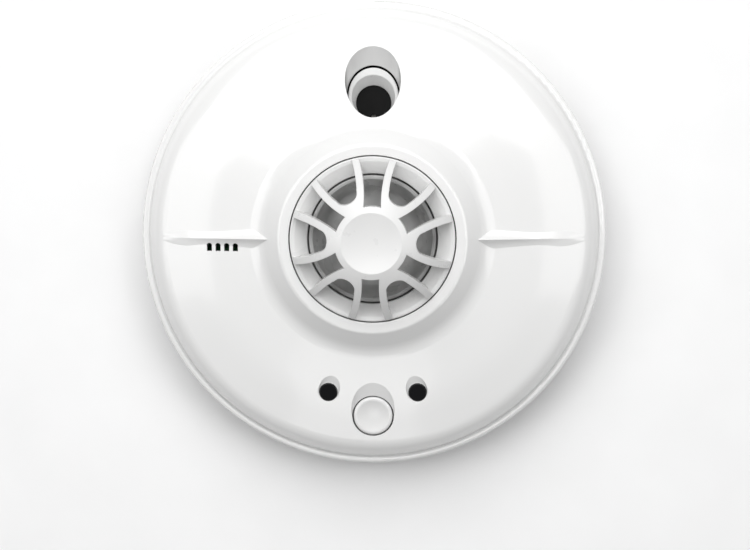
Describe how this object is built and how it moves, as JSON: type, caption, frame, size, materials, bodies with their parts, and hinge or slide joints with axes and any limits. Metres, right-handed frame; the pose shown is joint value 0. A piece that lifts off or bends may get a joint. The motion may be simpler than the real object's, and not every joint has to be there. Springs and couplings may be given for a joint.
{
  "type": "heat alarm",
  "caption": "White domed ceiling heat alarm with an open spoked cage, sounder outlet, test button and indicator windows, on a twist-off mounting plate.",
  "frame": {"origin": "centre of the mounting face, on the ceiling plane", "axes": "+Z out of the ceiling through the cage, +Y towards the sounder outlet, -Y towards the test button"},
  "size_m": [0.148, 0.148, 0.0502],
  "materials": {
    "cover_white": "semi-gloss",
    "cage_white": "satin",
    "button_white": "semi-gloss",
    "housing_white": "fine texture",
    "window_black": "gloss",
    "capsule_black": "satin",
    "terminal_grey": "satin",
    "board_green": "satin",
    "chip_black": "matt",
    "film_yellow": "satin",
    "fuse_brown": "satin",
    "led_green": "gloss",
    "led_red": "gloss",
    "steel": "zinc plated",
    "brass": "satin",
    "piezo_white": "matt",
    "bead_glass": "gloss",
    "gasket_rubber": "matt",
    "lead_red": "satin"
  },
  "bodies": {
    "base": {"mounting_plate": "housing_white", "terminal_block": "terminal_grey", "contact_clips": "brass", "terminal_clamps": "brass", "terminal_screws": "steel", "terminal_cover": "housing_white", "cable_clamp": "housing_white", "cable_clamp_screws": "steel"},
    "alarm_head": {"front_cover": "cover_white", "heat_cage": "cage_white", "sensor_chamber": "cage_white", "sounder_horn": "cage_white", "thermistor_holder": "cage_white", "rear_housing": "housing_white", "contact_blades": "brass", "piezo_plate": "brass", "housing_screws": "steel", "board_screws": "steel", "thermistor_leads": "steel", "backup_cells": "steel", "cell_tabs": "steel", "thermistor": "bead_glass", "circuit_board": "board_green", "sounder_gasket": "gasket_rubber", "sounder_capsule": "capsule_black", "piezo_ceramic": "piezo_white", "sounder_leads": "lead_red", "power_window": "window_black", "alarm_window": "window_black", "power_led": "led_green", "alarm_led": "led_red", "switch_body": "chip_black", "film_capacitor": "film_yellow", "smoothing_capacitors": "chip_black", "choke": "chip_black", "fuse": "fuse_brown", "bridge_rectifier": "chip_black", "microcontroller": "chip_black", "driver_chip": "chip_black", "chip_resistors": "chip_black"},
    "test_button": {"test_button": "button_white"},
    "switch_plunger": {"switch_plunger": "chip_black"}
  },
  "joints": [
    {"name": "head_twist", "type": "hinge", "parent": "base", "child": "alarm_head", "pos_m": [0, 0, 0], "axis": [0, 0, 1], "range_deg": [0, 15]},
    {"name": "button_press", "type": "slide", "parent": "alarm_head", "child": "test_button", "axis": [0, 0, -1], "range_m": [0, 0.0008], "stiffness_N_per_m": 1500, "springref_m": -0.0005},
    {"name": "plunger_press", "type": "slide", "parent": "alarm_head", "child": "switch_plunger", "axis": [0, 0, -1], "range_m": [0, 0.0008]}
  ],
  "couplings": [
    {"joint": "plunger_press", "follows": "button_press", "ratio": 1}
  ]
}
